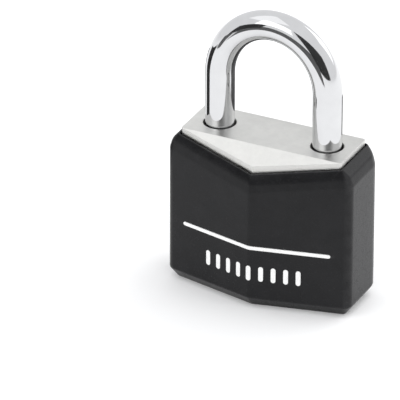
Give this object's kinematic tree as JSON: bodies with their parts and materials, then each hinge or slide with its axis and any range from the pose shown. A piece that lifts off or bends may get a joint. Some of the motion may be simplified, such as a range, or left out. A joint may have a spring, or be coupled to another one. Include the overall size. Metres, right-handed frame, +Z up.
{
  "type": "padlock",
  "caption": "Solid-body padlock: aluminium block in a black moulded cover with a ridged front and white stripe, round chromed shackle, keyway underneath.",
  "frame": {"origin": "centre of the bounding box's footprint, on the ground under the upright padlock", "axes": "+Z up, along the shackle's lift; -Y to the ridged front; +X to the right as seen from the front, towards the shackle's toe"},
  "size_m": [0.043, 0.0193, 0.0649],
  "materials": {
    "block_aluminium": "satin brushed",
    "cover_plastic": "moulded matt",
    "stripe_white": "satin",
    "shackle_chrome": "polished plate",
    "cylinder_brass": "turned",
    "spring_steel": "drawn wire",
    "hard_steel": "ground"
  },
  "bodies": {
    "body": {"body_block": "block_aluminium", "cover_shell": "cover_plastic", "stripe_inlay": "stripe_white", "side_plug": "hard_steel", "cylinder_shell": "cylinder_brass", "chamber_strip": "cylinder_brass", "shell_retainer": "hard_steel", "shackle_spring": "spring_steel", "pin_spring_1": "spring_steel", "pin_spring_2": "spring_steel", "pin_spring_3": "spring_steel", "pin_spring_4": "spring_steel"},
    "shackle": {"shackle": "shackle_chrome"},
    "rotor": {"cylinder_plug": "cylinder_brass", "plug_clip": "spring_steel", "cam": "hard_steel"},
    "bolt_heel": {"locking_bolt_heel": "hard_steel"},
    "bolt_toe": {"locking_bolt_toe": "hard_steel"},
    "key_pin_1": {"key_pin_1": "cylinder_brass"},
    "driver_pin_1": {"driver_pin_1": "cylinder_brass"},
    "key_pin_2": {"key_pin_2": "cylinder_brass"},
    "driver_pin_2": {"driver_pin_2": "cylinder_brass"},
    "key_pin_3": {"key_pin_3": "cylinder_brass"},
    "driver_pin_3": {"driver_pin_3": "cylinder_brass"},
    "key_pin_4": {"key_pin_4": "cylinder_brass"},
    "driver_pin_4": {"driver_pin_4": "cylinder_brass"}
  },
  "joints": [
    {"name": "shackle_lift", "type": "slide", "parent": "body", "child": "shackle", "axis": [0, 0, 1], "range_m": [0, 0.0125], "deforming": ["shackle_spring"]},
    {"name": "plug_turn", "type": "hinge", "parent": "body", "child": "rotor", "pos_m": [0, 0.0023, 0.0005], "axis": [0, 0, 1], "range_deg": [-90, 0]},
    {"name": "bolt_heel_slide", "type": "slide", "parent": "body", "child": "bolt_heel", "axis": [-1, 0, 0], "range_m": [0, 0.00155]},
    {"name": "bolt_toe_slide", "type": "slide", "parent": "body", "child": "bolt_toe", "axis": [1, 0, 0], "range_m": [0, 0.00235]},
    {"name": "key_pin_1_drop", "type": "slide", "parent": "rotor", "child": "key_pin_1", "axis": [1, 0, 0], "range_m": [-0.0016, 0]},
    {"name": "driver_pin_1_lift", "type": "slide", "parent": "body", "child": "driver_pin_1", "axis": [0, -1, 0], "range_m": [0, 0.0008], "deforming": ["pin_spring_1"]},
    {"name": "key_pin_2_drop", "type": "slide", "parent": "rotor", "child": "key_pin_2", "axis": [1, 0, 0], "range_m": [-0.0008, 0]},
    {"name": "driver_pin_2_lift", "type": "slide", "parent": "body", "child": "driver_pin_2", "axis": [0, -1, 0], "range_m": [0, 0.0008], "deforming": ["pin_spring_2"]},
    {"name": "key_pin_3_drop", "type": "slide", "parent": "rotor", "child": "key_pin_3", "axis": [1, 0, 0], "range_m": [-0.002, 0]},
    {"name": "driver_pin_3_lift", "type": "slide", "parent": "body", "child": "driver_pin_3", "axis": [0, -1, 0], "range_m": [0, 0.0008], "deforming": ["pin_spring_3"]},
    {"name": "key_pin_4_drop", "type": "slide", "parent": "rotor", "child": "key_pin_4", "axis": [1, 0, 0], "range_m": [-0.0012, 0]},
    {"name": "driver_pin_4_lift", "type": "slide", "parent": "body", "child": "driver_pin_4", "axis": [0, -1, 0], "range_m": [0, 0.0008], "deforming": ["pin_spring_4"]}
  ],
  "couplings": [
    {"joint": "bolt_heel_slide", "follows": "plug_turn", "m_per_rad": -0.00098676},
    {"joint": "bolt_toe_slide", "follows": "plug_turn", "m_per_rad": -0.0014961}
  ]
}
